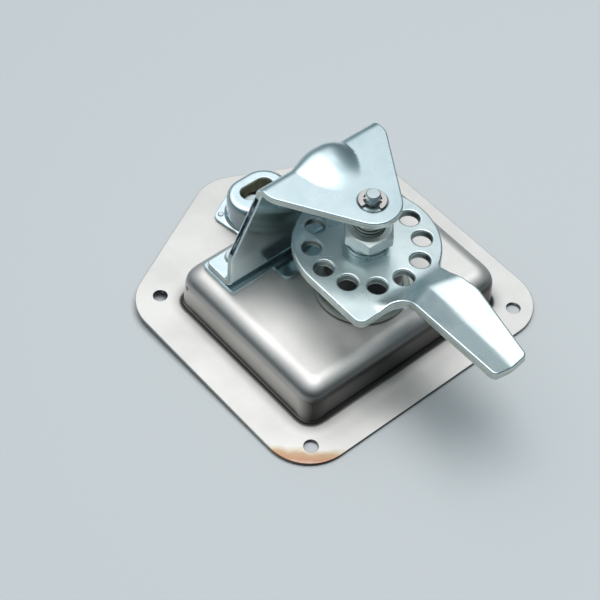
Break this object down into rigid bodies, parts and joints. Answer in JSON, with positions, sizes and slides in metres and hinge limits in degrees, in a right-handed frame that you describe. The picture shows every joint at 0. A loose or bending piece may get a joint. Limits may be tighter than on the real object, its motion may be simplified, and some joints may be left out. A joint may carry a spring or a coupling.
{
  "type": "folding t-handle paddle latch",
  "caption": "Flush panel latch with its back up: pressed pan, folding T-handle in the dish, spindle with a joggled cam arm, bent bracket over the cam, and a key lock in a drawn cup.",
  "frame": {"origin": "centre of the four screw holes, on the back face of the pan flange", "axes": "+Z out of the back, +Y towards the lock and the pan's point, +X to the right seen from the back"},
  "size_m": [0.14, 0.1802, 0.084],
  "materials": {
    "stainless_pan": "satin stainless sheet",
    "zinc_base": "bright zinc plate",
    "zinc_bracket": "bright zinc plate",
    "zinc_rivets": "bright zinc plate",
    "zinc_hub": "bright zinc plate",
    "gasket_rubber": "black rubber",
    "bronze_bush": "sintered bronze",
    "seal_rubber": "black rubber",
    "zinc_hub_nut": "bright zinc plate",
    "steel_washer": "plain steel",
    "zinc_spindle": "bright zinc plate",
    "zinc_cam": "bright zinc plate",
    "zinc_collar": "bright zinc plate",
    "zinc_nut": "bright zinc plate",
    "spring_clip": "bright spring steel",
    "stainless_handle": "polished stainless",
    "stainless_pin": "ground stainless",
    "nylon_washers": "natural nylon",
    "zinc_lock_cup": "bright zinc plate",
    "lock_rivets": "plain aluminium",
    "chrome_barrel": "chrome plate",
    "zinc_lock_nut": "bright zinc plate",
    "chrome_plug": "chrome plate",
    "zinc_tail": "bright zinc plate",
    "zinc_tail_screw": "bright zinc plate"
  },
  "bodies": {
    "pan": {"mounting_pan": "stainless_pan", "base_plate": "zinc_base", "support_bracket": "zinc_bracket", "bracket_rivets": "zinc_rivets", "hub_housing": "zinc_hub", "hub_gasket": "gasket_rubber", "hub_bush": "bronze_bush", "shaft_seal": "seal_rubber", "hub_nut": "zinc_hub_nut", "thrust_washer": "steel_washer", "lock_housing": "zinc_lock_cup", "lock_rivets": "lock_rivets", "lock_barrel": "chrome_barrel", "lock_nut": "zinc_lock_nut"},
    "rotor": {"spindle": "zinc_spindle", "cam_plate": "zinc_cam", "drive_collar": "zinc_collar", "cam_nut": "zinc_nut", "retaining_clip": "spring_clip"},
    "handle": {"t_handle": "stainless_handle", "hinge_pin": "stainless_pin", "hinge_washers": "nylon_washers"},
    "key_plug": {"lock_plug": "chrome_plug", "lock_tail": "zinc_tail", "tail_screw": "zinc_tail_screw"}
  },
  "joints": [
    {"name": "spindle_turn", "type": "hinge", "parent": "pan", "child": "rotor", "pos_m": [0, -0.0127, 0.03], "axis": [0, 0, -1], "range_deg": [0, 90]},
    {"name": "handle_fold", "type": "hinge", "parent": "rotor", "child": "handle", "pos_m": [0, -0.0127, 0.006], "axis": [-1, 0, 0], "range_deg": [0, 90]},
    {"name": "key_turn", "type": "hinge", "parent": "pan", "child": "key_plug", "pos_m": [0.002, 0.059, 0.003], "axis": [0, 0, 1], "range_deg": [0, 90]}
  ]
}
